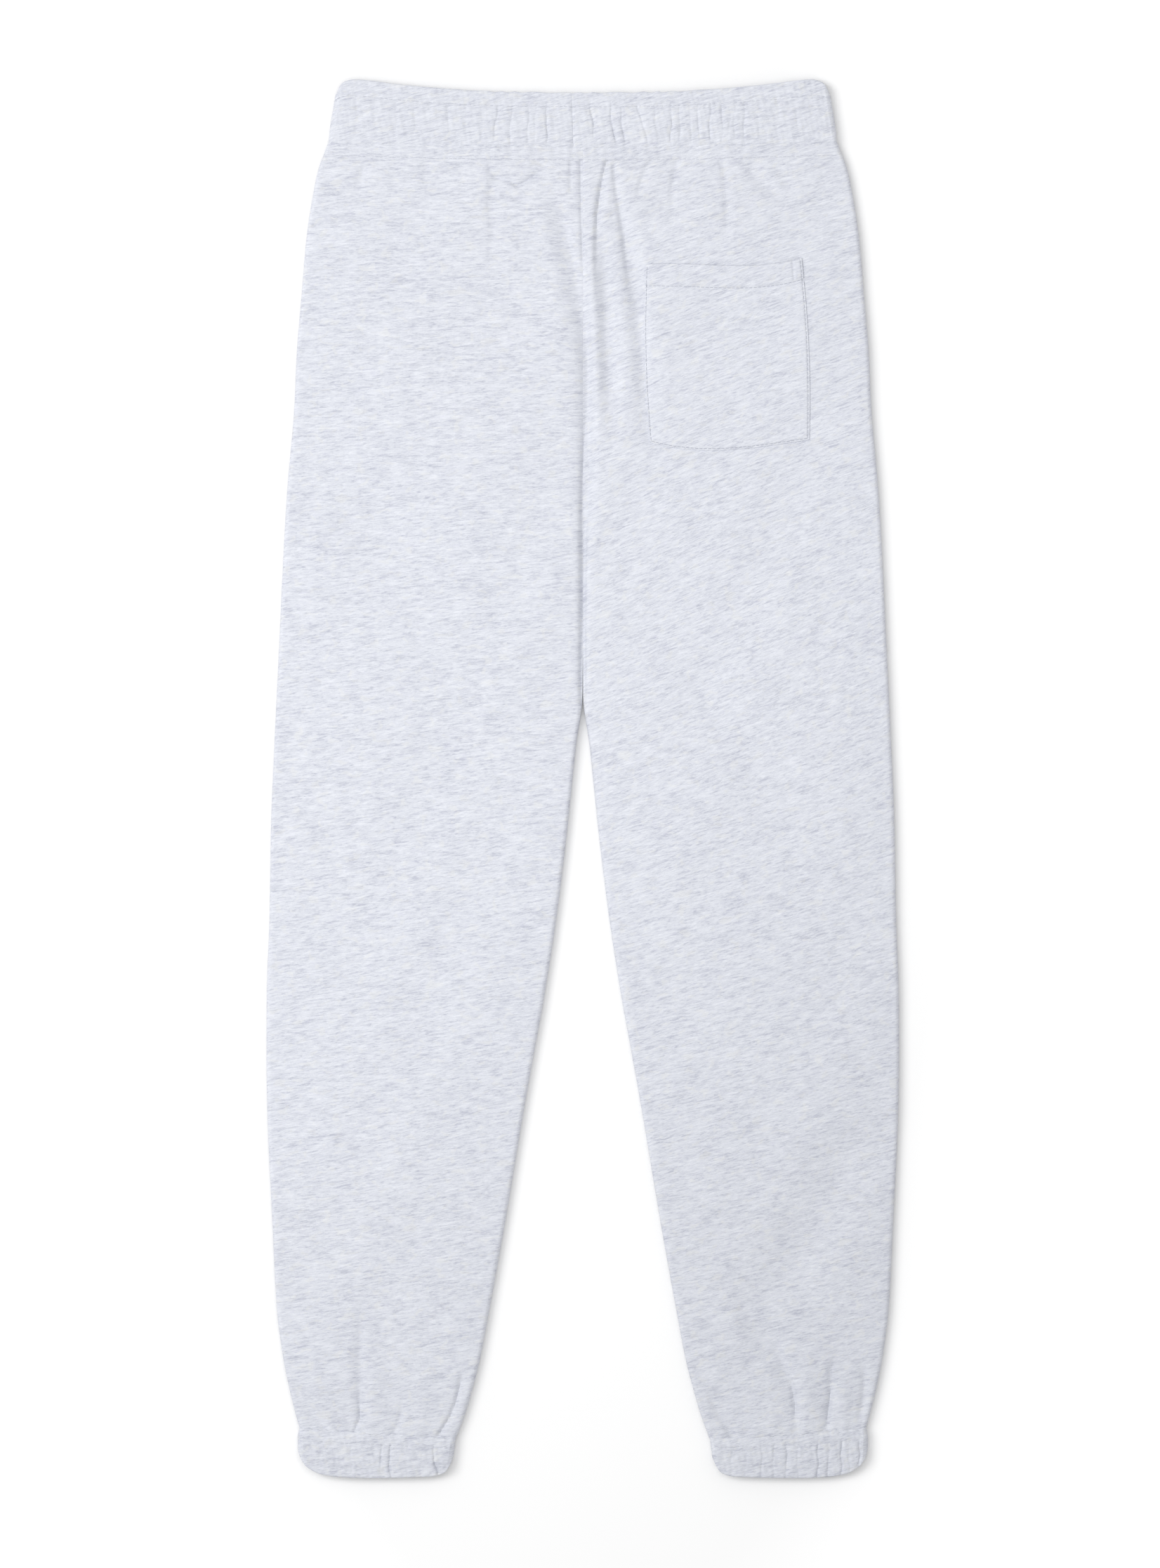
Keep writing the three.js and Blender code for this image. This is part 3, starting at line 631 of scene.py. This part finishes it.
cuffCut = {
    "wall": 3,
    "half": 4.3,
    "crown": 0.6,
    "puff": 0.8,
    # height, inner edge, outer edge
    "edges": [(-488, 94.5, 213.6), (-498, 96, 215.4), (-508, 97.2, 215.2), (-518, 98.6, 213.4),
              (-530, 100.4, 210.5)],
    # share from the inner side (-1) to the outer side (1), height of the lower edge
    "bottom": [(-1, -513), (-0.97, -519), (-0.9, -524.4), (-0.75, -526.8), (-0.3, -527.7), (0.1, -528),
               (0.45, -527.4), (0.75, -525), (0.9, -520.5), (0.97, -515), (1, -507)],
    "hold": (0.16, 0.34, 1.2, 1.4),
    # distance from the middle at the seam and at the hem, bow, depth, half width
    "creases": {
        -1: [(198, 199, 0, 0.48, 1.62), (186, 187, 0, 0.38, 1.62), (174.5, 174.5, 0, 0.57, 1.46),
             (161, 161, 0, 0.29, 1.62), (152.4, 152.2, 0, 1.04, 1.05), (145.6, 145.2, 0.3, 1.7, 1.05),
             (132, 133, 0, 0.38, 1.62), (121, 122, 0, 0.48, 1.62), (113.4, 109.6, 0.6, 1.89, 0.97)],
        1: [(113.2, 112, 0, 0.48, 1.62), (124, 123, 0, 0.48, 1.62), (135, 135, 0, 0.85, 1.13),
            (144, 143.6, 0.3, 0.85, 1.13), (154, 153.6, 0, 1.13, 1.13), (162.6, 162.2, 0, 0.76, 1.05),
            (177.4, 177, 0.4, 1.6, 0.97), (185.6, 185.2, 0, 1.04, 1.05), (195.2, 194.8, 0.4, 1.7, 0.97),
            (201, 201, 0, 0.48, 0.97), (209, 208.4, 0.3, 1.32, 1.05)],
    },
    "seamDip": 0.55,
    "ripple": 0.4,
    "stitchAt": 0.25,
    "slope": 0.3,
    "bead": 0.044,
    "backColumns": 210,
    "edgeColumns": 12,
    "frontColumns": 70,
    "rows": 34,
}


def waistbandSides(y):
    half = column(waistbandCut["sides"], 1, y)
    return -half, half


def waistbandEdge(x, y):
    share = np.abs(x) / waistbandSides(y)[1]
    top = column(waistbandCut["top"], 1, share)
    return top - 0.4 * smoothStep(0.6, 0.3, share) * (1 + np.sin(0.42 * x + 2 * np.sin(x / 9)))


def cuffEdgesAt(y):
    return column(cuffCut["edges"], 1, y), column(cuffCut["edges"], 2, y)


def cuffEdge(x, y):
    inner, outer = cuffEdgesAt(y)
    share = (2 * np.abs(x) - inner - outer) / (outer - inner)
    return column(cuffCut["bottom"], 1, share)


def creaseDepth(band, x, share):
    start, full, fading, gone = band["hold"]
    held = smoothStep(start, full, share) * (1 - smoothStep(fading, gone, share))
    total = np.zeros_like(x)
    for low, high, bow, depth, half in band["lines"]:
        wobble = 0.5 * np.sin(9 * share + low) + 0.25 * np.sin(17 * share + 2 * low)
        middle = mix(low, high, share) + 4 * bow * share * (1 - share) + wobble
        away = np.minimum(np.abs(x - middle) / half, 6)
        strength = 0.75 + 0.25 * np.sin(7 * share + 1.7 * low)
        total += strength * depth * np.exp(-1.3 * (np.sqrt(away ** 2 + 0.05) - math.sqrt(0.05)))
    return held * total


# How round the band is across its width: one in the middle, zero at its two edges.
def bandRound(band, x, y):
    left, right = band["sides"](y)
    return 1 - np.clip((2 * x - left - right) / (right - left), -1, 1) ** 6


# Cloth held by elastic is rumpled all over, by a quarter of a millimetre or so.
crumple = {"slow": 0.17, "quick": 0.12}


def rumple(x, y):
    slow = np.sin(0.62 * x + 1.4 * np.sin(0.21 * y + 0.05 * x)) * np.sin(0.42 * y + 1.7 * np.sin(0.09 * x))
    quick = np.sin(1.3 * x - 0.5 * y + 2 * np.sin(0.07 * x)) * np.sin(0.8 * y + 0.23 * x + 1)
    return crumple["slow"] * slow + crumple["quick"] * quick


# The elastic puffs the cloth up between the seam and the row of stitches, in uneven ripples.
def bandPuff(band, x, share):
    inside = smoothStep(0, 0.3, share) * (1 - 0.6 * smoothStep(0.66, 0.84, share))
    ripples = band["ripple"] * puckers(x, np.abs(share - 0.4) * 30, 14)
    stitched = 0.3 * np.exp(-((share - band["stitchAt"]) * 40 / 1.2) ** 2)
    return band["puff"] * inside + ripples - stitched - band["slope"] * (1 - smoothStep(0, 0.17, share))


def bandTop(band, x, y, share):
    top = 2 * band["half"] + band["crown"] * bandRound(band, x, y)
    puff = bandPuff(band, x, share) * mix(0.5, 1, bandRound(band, x, y))
    return top + puff + rumple(x, y) - creaseDepth(band, x, share)


# A band's cloth is a wall that goes round its own section, with round upper and lower edges.
# Share counts from the seam (0) to the free edge (1), depth from the outside (0) to the inside.
def wallSection(band):
    bead = band["bead"]
    arc = np.linspace(0, math.pi, 9)
    outside = np.linspace(bead, 1 - bead, band["rows"] + 1)
    inside = np.linspace(1 - bead, bead, 10)
    rim = bead * (1 - np.sin(arc[1:-1]))
    over = (1 - np.cos(arc[1:-1])) / 2
    back = (1 + np.cos(arc[1:-1])) / 2
    share = np.concatenate([outside, 1 - rim, inside, rim, [bead]])
    depth = np.concatenate([0 * outside, over, 0 * inside + 1, back, [0]])
    return share, depth


# Places round the ring: wall number (back, right, front, left) and how far along that wall.
def ringStations(band):
    number, along = [], []
    for wallNumber, start, end in band["ring"]:
        full = {0: band["backColumns"], 2: band["frontColumns"]}.get(wallNumber, band["edgeColumns"])
        length = abs(end - start) / (1 if wallNumber in (0, 2) else math.pi)
        steps = max(2, round(full * length))
        values = np.linspace(start, end, steps + 1)
        keep = values if not number else values[1:]
        number.extend([wallNumber] * len(keep))
        along.extend(keep)
    return np.array(number), np.array(along)


def bandCloth(band):
    share, depth = wallSection(band)
    number, along = ringStations(band)
    slit = np.zeros(len(number))
    slit[0], slit[-1] = 0.02, -0.02
    number, q = np.meshgrid(number, depth)
    s = np.broadcast_to(share[:, None], q.shape)
    turn = np.where(number == 0, 0, np.where(number == 2, math.pi, along))
    curl = legCut["curl"]
    inset = curl * (1 - np.sin(turn))
    y = np.full(q.shape, float(band["level"]))
    for _ in range(4):
        left, right = band["sides"](y)
        flat = mix(left + curl, right - curl, along) + band["lean"](along, s) * (number == 0)
        x = np.select([number == 1, number == 3], [right - inset, left + inset], flat)
        y = mix(band["seam"](x), band["freeEdge"](x, y), s)
    isBack = number == 0
    rounding = bandRound(band, x, y)
    under = creaseDepth(band, 2 * band["middle"] - x, s)
    outer = bandTop(band, x, y, s) - band["half"]
    rise = np.where(isBack, outer, band["half"] - 0.5 * under * (number == 2))
    plain = band["half"] + np.where(isBack, band["crown"] * rounding, 0) - band["wall"]
    ends = np.abs(np.cumsum(np.ones(q.shape), axis=1) - 1)
    ends = np.minimum(ends, ends[:, ::-1]) * band["pitch"]
    rise = rise - band["seamDip"] * np.exp(-ends) * isBack
    z = band["half"] + np.cos(turn) * mix(rise, plain, q)
    inward = band["wall"] * q * np.sin(turn)
    x = np.where(number == 1, x - inward, np.where(number == 3, x + inward, x))
    x = x + slit * (band["seamWall"] == 0)
    z = z + slit * {0: 0, 1: -1, 3: 1}[band["seamWall"]]
    places = np.stack([x, y, z], axis=-1)
    middleRow = places[band["rows"] // 2]
    around = np.concatenate([[0], np.cumsum(np.hypot(np.diff(middleRow[:, 0]), np.diff(middleRow[:, 2])))])
    grain = grainPlaces(band["side"], np.broadcast_to(around, q.shape), y, band["shift"])
    piece = clothGrid(band["name"], places, grain)
    closeTube(piece)
    return finishPiece(piece, jersey, [band["node"]])


# Near the waistband's back seam the columns of points lean with it.
def seamLean(along, share):
    away = 380 * (along - seamShare)
    return (mix(*waistbandCut["seamLean"], share) - waistbandCut["seamCut"]) * np.exp(-(away / 9) ** 2)


seamShare = 0.5 + waistbandCut["seamCut"] / (2 * (190 - legCut["curl"]))
waistband = {
    **waistbandCut,
    "name": "waistbandCloth",
    "node": "waistband",
    "lines": waistbandCut["creases"],
    "ring": [(0, seamShare, 1), (1, 0, math.pi), (2, 1, 0), (3, math.pi, 0), (0, 0, seamShare)],
    "seamWall": 0,
    "sides": waistbandSides,
    "seam": waistSeam,
    "freeEdge": waistbandEdge,
    "lean": seamLean,
    "middle": 0,
    "level": 500,
    "pitch": 0.6,
    "side": 1,
    "shift": 1900,
}


def cuffBand(side):
    quarter = math.pi / 2
    ringRight = [(3, quarter, 0), (0, 0, 1), (1, 0, math.pi), (2, 1, 0), (3, math.pi, quarter)]
    ringLeft = [(1, quarter, math.pi), (2, 1, 0), (3, math.pi, 0), (0, 0, 1), (1, 0, quarter)]

    def sides(y):
        inner, outer = cuffEdgesAt(y)
        return (inner, outer) if side > 0 else (-outer, -inner)

    return {
        **cuffCut,
        "name": "cuffClothLeft" if side < 0 else "cuffClothRight",
        "node": "cuff_left" if side < 0 else "cuff_right",
        "lines": [(side * low, side * high, side * bow, deep, half)
                  for low, high, bow, deep, half in cuffCut["creases"][side]],
        "ring": ringRight if side > 0 else ringLeft,
        "seamWall": 3 if side > 0 else 1,
        "sides": sides,
        "seam": cuffSeam,
        "freeEdge": cuffEdge,
        "lean": lambda along, share: 0 * along,
        "middle": side * 155,
        "level": -508,
        "pitch": 100,
        "side": side,
        "shift": 2600 + 400 * side,
    }


# Back patch pocket

pocketCut = {
    "mouth": ((47.5, 388), (165, 393)),
    "base": ((50.6, 254.5), (170.9, 256)),
    "mouthSag": (4.6, 0.68),
    "baseDrop": (7.2, 0.4),
    "sideBow": 2.4,
    # size over its cloth, by which places on it are told
    "wide": 119,
    "tall": 134,
    "hem": 16,
    "tuckAt": 112,
    "wall": 0.9,
    "lift": 1.2,
    "hemLift": 0.5,
    "stitchIn": 1.1,
    "grooveDepth": 0.5,
    "hemGroove": 0.9,
    "tuckDepth": 0.7,
    "columns": 124,
    "rows": 134,
}


def hump(share, highest):
    return np.sin(math.pi * np.clip(share, 0, 1) ** (math.log(0.5) / math.log(highest)))


def pocketPlan(across, up):
    (mouthLeft, mouthRight), (baseLeft, baseRight) = pocketCut["mouth"], pocketCut["base"]
    bow = pocketCut["sideBow"] * np.sin(math.pi * up)
    left = mix(baseLeft[0], mouthLeft[0], up) - bow
    right = mix(baseRight[0], mouthRight[0], up) + bow
    (drop, dropAt), (sag, sagAt) = pocketCut["baseDrop"], pocketCut["mouthSag"]
    low = mix(baseLeft[1], baseRight[1], across) - drop * hump(across, dropAt)
    high = mix(mouthLeft[1], mouthRight[1], across) - sag * hump(across, sagAt)
    return mix(left, right, across), mix(low, high, up)


# Height of the pocket over the panel: sewn down at three edges, with a turned hem at its mouth.
def pocketLift(across, up):
    wide, tall = pocketCut["wide"], pocketCut["tall"]
    d = np.minimum(np.minimum(across, 1 - across) * wide, up * tall)
    overHem = up * tall - tall + pocketCut["hem"]
    body = pocketCut["lift"] + pocketCut["hemLift"] * smoothStep(-0.7, 0.7, overHem)
    edge = 1 - 0.3 * np.exp(-(d / 0.7) ** 2)
    hemGroove = pocketCut["hemGroove"] * np.exp(-(overHem / 1.1) ** 2)
    groove = pocketCut["grooveDepth"] * np.exp(-((d - pocketCut["stitchIn"]) / 0.6) ** 2)
    tuck = np.exp(-((across * wide - pocketCut["tuckAt"]) / 0.9) ** 2) * smoothStep(0, 2, overHem)
    return body * edge - hemGroove - groove - pocketCut["tuckDepth"] * tuck


# Shares from 0 to 1, closer together near both ends.
def crowdedShares(steps):
    even = np.linspace(0, 1, steps + 1)
    return mix(even, 0.5 - 0.5 * np.cos(math.pi * even), 0.6)


def pocketPatch():
    across, up = np.meshgrid(crowdedShares(pocketCut["columns"]), crowdedShares(pocketCut["rows"]))
    x, y = pocketPlan(across, up)
    z = backTop(x, y) + pocketLift(across, up)
    piece = clothGrid("pocketPatch", np.stack([x, y, z], axis=-1), grainPlaces(1, x, y, 3300))
    giveThickness(piece, pocketCut["wall"])
    return finishPiece(piece, jersey, ["back_pocket"])


# Rows of stitches

# The last three are how high the middle of a stitch lies over its cloth.
stitch = {
    "long": 3,
    "pitch": 3.3,
    "wide": 0.45,
    "high": 0.3,
    "overBand": 0.05,
    "overStrip": 0.08,
    "overPocket": 0.1,
}


def stitchRun(name, paths, colour):
    clearSelection()
    bpy.ops.mesh.primitive_uv_sphere_add(segments=8, ring_count=5, radius=0.5)
    seed = bpy.context.object
    seed.data.transform(((0, 0, 1, 0), (0, 1, 0, 0), (-1, 0, 0, 0), (0, 0, 0, 1)))
    shape = np.array([vertex.co[:] for vertex in seed.data.vertices])
    faces = [list(face.vertices) for face in seed.data.polygons]
    bpy.data.objects.remove(seed)
    points, allFaces = [], []
    for path in paths:
        path = np.asarray(path, float)
        steps = np.linalg.norm(np.diff(path, axis=0), axis=1)
        run = np.concatenate([[0], np.cumsum(steps)])
        count = int(run[-1] / stitch["pitch"])
        for middle in (np.arange(count) + 0.5) * run[-1] / count:
            reach = stitch["long"] / 2
            ends = [np.array([np.interp(middle + d * reach, run, path[:, k]) for k in range(3)])
                    for d in (-1, 1)]
            along = (ends[1] - ends[0]) / np.linalg.norm(ends[1] - ends[0])
            sideways = np.cross((0, 0, 1), along)
            sideways /= np.linalg.norm(sideways)
            up = np.cross(along, sideways)
            centre = (ends[0] + ends[1]) / 2
            first = sum(len(p) for p in points)
            placed = centre + shape[:, :1] * along * stitch["long"]
            placed = placed + shape[:, 1:2] * sideways * stitch["wide"] + shape[:, 2:] * up * stitch["high"]
            points.append(placed * mm)
            allFaces.extend([[first + i for i in face] for face in faces])
    mesh = bpy.data.meshes.new(name)
    mesh.from_pydata(np.concatenate(points).tolist(), [], allFaces)
    mesh.update()
    piece = bpy.data.objects.new(name, mesh)
    bpy.context.collection.objects.link(piece)
    return finishPiece(piece, colour)


def bandRow(band, fromX, toX):
    share = band["stitchAt"]
    x = np.linspace(fromX, toX, 260)
    y = mix(band["seam"](x), band["freeEdge"](x, np.full_like(x, float(band["level"]))), share)
    return np.stack([x, y, bandTop(band, x, y, np.full_like(x, share)) + stitch["overBand"]], axis=-1)


def stripRow():
    x = np.linspace(-190, 190, 300)
    y = waistSeam(x) - sewing["stripWidth"]
    return np.stack([x, y, panelTop(x, y) + stitch["overStrip"]], axis=-1)


def pocketRow(across, up):
    x, y = pocketPlan(across, up)
    return np.stack([x, y, backTop(x, y) + pocketLift(across, up) + stitch["overPocket"]], axis=-1)


# Down one side, along the foot, up the other side, and along the hem.
def pocketRowsOf(steps):
    s = np.linspace(0, 1, steps)
    inX, inY = pocketCut["stitchIn"] / pocketCut["wide"], pocketCut["stitchIn"] / pocketCut["tall"]
    hemAt = 1 - pocketCut["hem"] / pocketCut["tall"]
    return [
        pocketRow(inX + 0 * s, mix(inY, 0.99, s)),
        pocketRow(mix(inX, 1 - inX, s), inY + 0 * s),
        pocketRow(1 - inX + 0 * s, mix(inY, 0.99, s)),
        pocketRow(mix(2 * inX, 1 - 2 * inX, s), hemAt + 0 * s),
    ]


def threadColour(name, colour):
    material = bpy.data.materials.new(name)
    material.use_nodes = True
    shader = material.node_tree.nodes["Principled BSDF"]
    shader.inputs["Base Color"].default_value = (*colour, 1)
    shader.inputs["Roughness"].default_value = 0.7
    return material


# The garment

jersey = melangeJersey("melangeJersey", 0)
thread = threadColour("sewingThread", (0.51, 0.525, 0.58))
# the pocket's thread is darker than the other thread: thread colour with painted shade for the shadow along
# the pocket's sewn edges
pocketThreadAndShade = threadColour("pocketThreadAndShade", (0.38, 0.395, 0.45))

backLegs = [legPanel(side, True) for side in (-1, 1)]
frontLegs = [legPanel(side, False) for side in (-1, 1)]
print("leg panels made")

band = bandCloth(waistband)
cuffs = [bandCloth(cuffBand(side)) for side in (-1, 1)]
print("waistband and cuffs made")

patch = pocketPatch()
print("pocket made")

# one row round the waistband, one on the strip below it, one round each cuff, and the pocket's
bandStitches = stitchRun("bandStitches", [bandRow(waistband, -188, 188)], thread)
stripStitches = stitchRun("stripStitches", [stripRow()], thread)
cuffStitches = [
    stitchRun("cuffStitchesLeft", [bandRow(cuffBand(-1), -212, -99)], thread),
    stitchRun("cuffStitchesRight", [bandRow(cuffBand(1), 99, 212)], thread),
]
pocketStitches = stitchRun("pocketStitches", pocketRowsOf(80), pocketThreadAndShade)
print("stitches made")

# Floor, light and camera

clearSelection()
bpy.ops.mesh.primitive_plane_add(size=40, location=(0, 0, -0.0004))
floor = bpy.context.object
floor.name = "floor"
paper = bpy.data.materials.new("paper")
paper.use_nodes = True
paperTree = paper.node_tree
# the paper is paler away from its middle: painted light that keeps the far floor white where the lamps fall
# off, and painted shade round the garment
paperPlace = addNode(paperTree, "ShaderNodeTexCoord", -900, 0).outputs["Object"]
squashed = addNode(paperTree, "ShaderNodeVectorMath", -800, 0, operation="MULTIPLY_ADD")
squashed.inputs[1].default_value = (1, 0.43, 1)
squashed.inputs[2].default_value = (0.01, 0, 0)
reach = addNode(paperTree, "ShaderNodeVectorMath", -650, 0, operation="LENGTH")
paintedFloorLight = addNode(paperTree, "ShaderNodeMapRange", -500, 0)
for socket, value in {"From Min": 0.28, "From Max": 0.4, "To Min": 0.85, "To Max": 0.985}.items():
    paintedFloorLight.inputs[socket].default_value = value
paperShader = paperTree.nodes["Principled BSDF"]
paperShader.inputs["Roughness"].default_value = 1
paperShader.inputs["Specular IOR Level"].default_value = 0
paperTree.links.new(paperPlace, squashed.inputs[0])
paperTree.links.new(squashed.outputs["Vector"], reach.inputs[0])
paperTree.links.new(reach.outputs["Value"], paintedFloorLight.inputs["Value"])
paperTree.links.new(paintedFloorLight.outputs["Result"], paperShader.inputs["Base Color"])
floor.data.materials.append(paper)

studio = {
    "key": {"place": (-2.6, 0.7, 3.1), "size": 2, "power": 74},
    "softbox": {"place": (-0.1, 0.12, 1.4), "size": 0.9, "power": 5.6},
    "sky": 0.69,
    "lens": 100,
    "camera": (-0.0021, -0.004, 3.2955),
}


def areaLight(name, settings):
    bpy.ops.object.light_add(type="AREA", location=settings["place"])
    light = bpy.context.object
    light.name = name
    light.data.size = settings["size"]
    light.data.energy = settings["power"]
    light.rotation_euler = (-Vector(settings["place"])).to_track_quat("-Z", "Y").to_euler()
    light.visible_camera = False


areaLight("key", studio["key"])
areaLight("softbox", studio["softbox"])
world = bpy.data.worlds.new("studio")
world.use_nodes = True
world.node_tree.nodes["Background"].inputs["Color"].default_value = (1, 1, 1, 1)
world.node_tree.nodes["Background"].inputs["Strength"].default_value = studio["sky"]
bpy.context.scene.world = world
bpy.context.scene.view_settings.view_transform = "Standard"

bpy.ops.object.camera_add(location=studio["camera"], rotation=(0, 0, 0))
camera = bpy.context.object
camera.name = "photoCamera"
camera.data.lens = studio["lens"]
camera.data.sensor_width = 36
bpy.context.scene.camera = camera
clearSelection()
print("stage, light and camera set")
